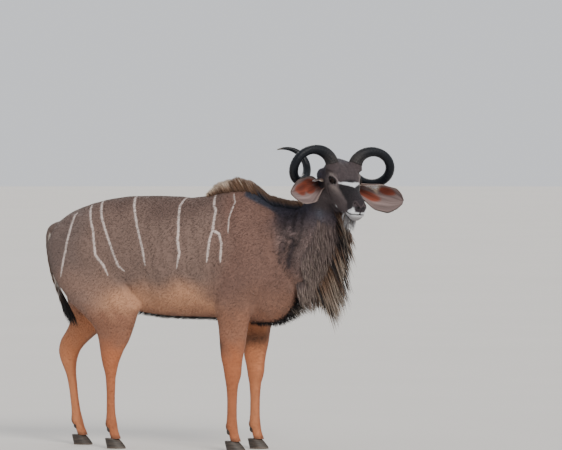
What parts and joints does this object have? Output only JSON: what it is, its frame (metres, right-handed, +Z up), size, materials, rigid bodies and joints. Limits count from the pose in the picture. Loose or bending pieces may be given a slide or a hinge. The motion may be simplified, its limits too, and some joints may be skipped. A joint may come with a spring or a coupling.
{
  "type": "greater kudu",
  "caption": "Still, life-size greater kudu bull standing with its head turned to its right, with spiral horns, cupped ears, mane and throat fringe.",
  "frame": {"origin": "middle of the base of the bounding box, on the ground under the hooves", "axes": "+X the way the body faces, +Y to the animal's left, +Z up; the head is turned towards -Y"},
  "size_m": [1.8928, 0.6198, 1.5517],
  "materials": {
    "body_coat": "short grey-brown coat with thin white stripes across the flanks, warmer towards the belly",
    "neck_coat": "short grey coat with a dark mane and a brown, black and cream throat fringe",
    "face_coat": "very short dark grey-brown coat, white chevron between the eyes, white lips and chin",
    "leg_coat": "short tawny coat, paler inside, dark patches behind the forearm and above the hooves",
    "ear_skin": "thin haired skin, pinkish orange inside with white hair, grey outside with a dark rim",
    "horn": "dark brown ridged horn, worn smooth towards the tips",
    "hoof": "dark worn hoof horn with growth rings",
    "eye": "wet dark brown eye"
  },
  "bodies": {
    "root": {"torso": "body_coat", "neck": "neck_coat", "head": "face_coat", "tail": "body_coat", "horn_right": "horn", "ear_right": "ear_skin", "eye_right": "eye", "front_leg_upper_right": "leg_coat", "front_leg_lower_right": "leg_coat", "front_hoof_right_right_claw": "hoof", "front_hoof_right_left_claw": "hoof", "hind_leg_upper_right": "leg_coat", "hind_leg_lower_right": "leg_coat", "hind_hoof_right_right_claw": "hoof", "hind_hoof_right_left_claw": "hoof", "horn_left": "horn", "ear_left": "ear_skin", "eye_left": "eye", "front_leg_upper_left": "leg_coat", "front_leg_lower_left": "leg_coat", "front_hoof_left_right_claw": "hoof", "front_hoof_left_left_claw": "hoof", "hind_leg_upper_left": "leg_coat", "hind_leg_lower_left": "leg_coat", "hind_hoof_left_right_claw": "hoof", "hind_hoof_left_left_claw": "hoof"}
  },
  "joints": []
}
